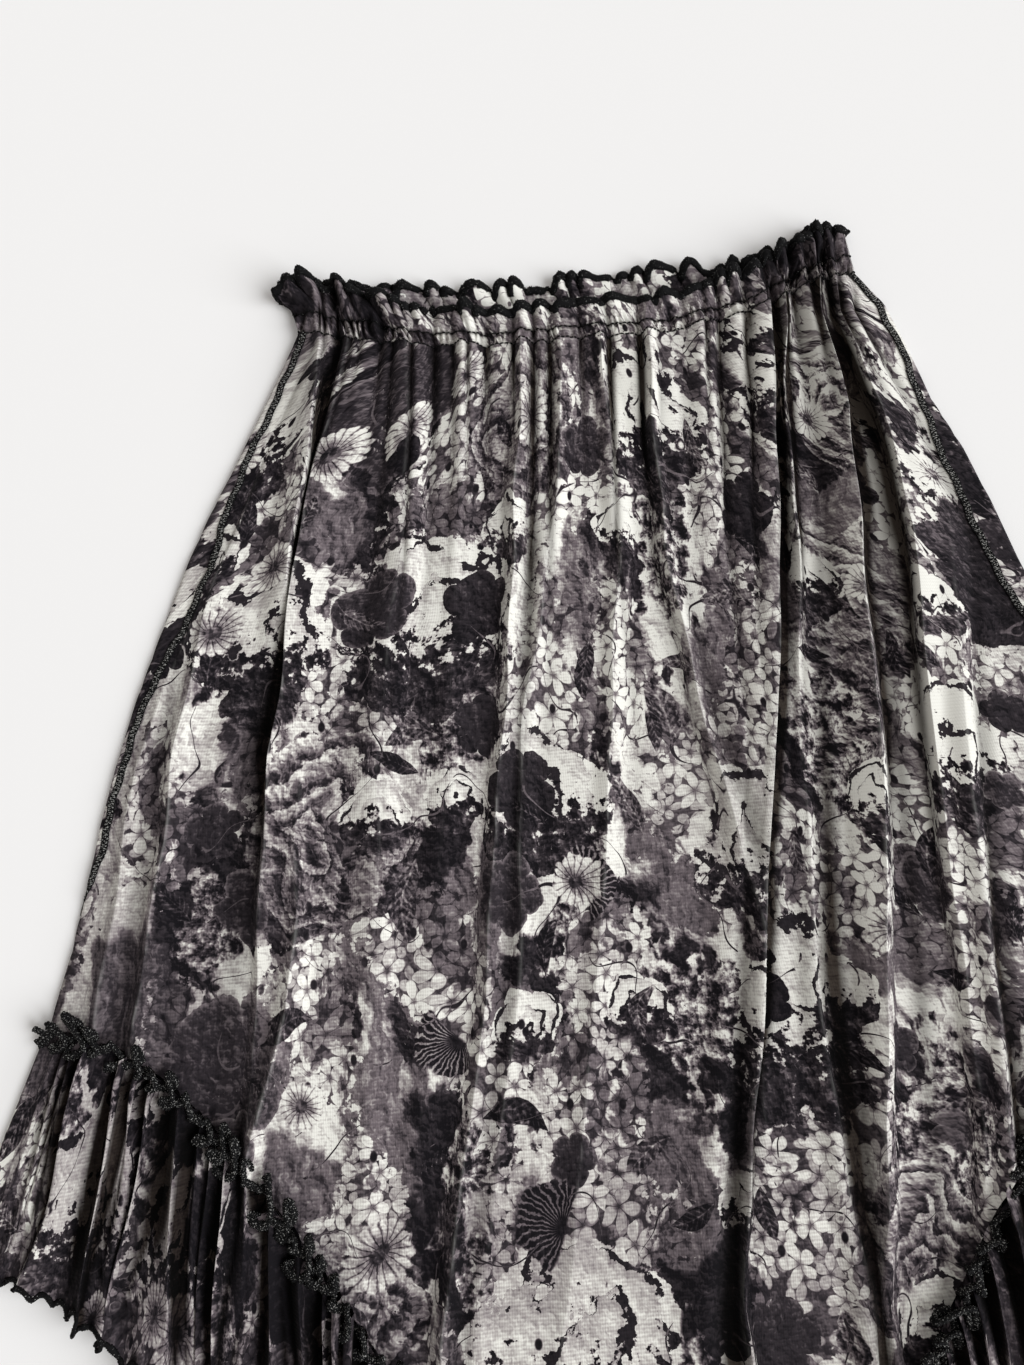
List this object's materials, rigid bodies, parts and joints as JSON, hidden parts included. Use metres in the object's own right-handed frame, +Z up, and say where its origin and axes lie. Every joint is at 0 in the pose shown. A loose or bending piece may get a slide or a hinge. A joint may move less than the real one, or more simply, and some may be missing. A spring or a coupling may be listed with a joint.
{
  "type": "midi skirt",
  "caption": "Flared midi skirt of flower-printed mesh jersey, laid flat: gathered elastic waist with a ruffled heading, outside seams, and a gathered flounce on a deep curved hem.",
  "frame": {"origin": "on the surface the skirt lies on, under the middle of its bounding box", "axes": "+X across the skirt to its right as seen from above, +Y up the skirt towards the waist, +Z up out of the surface, out of the skirt's front"},
  "size_m": [0.6934, 0.845, 0.0147],
  "materials": {
    "print_cloth": "matt printed stretch mesh, off-white flowers on grey and charcoal",
    "black_thread": "black textured overlock thread, soft sheen"
  },
  "bodies": {
    "root": {"front_panel": "print_cloth", "back_panel": "print_cloth", "waist_heading": "print_cloth", "flounce": "print_cloth", "left_seam_overlock": "black_thread", "right_seam_overlock": "black_thread", "heading_rolled_edge": "black_thread", "front_flounce_frill": "black_thread", "back_flounce_frill": "black_thread", "hem_rolled_edge": "black_thread"}
  },
  "joints": []
}
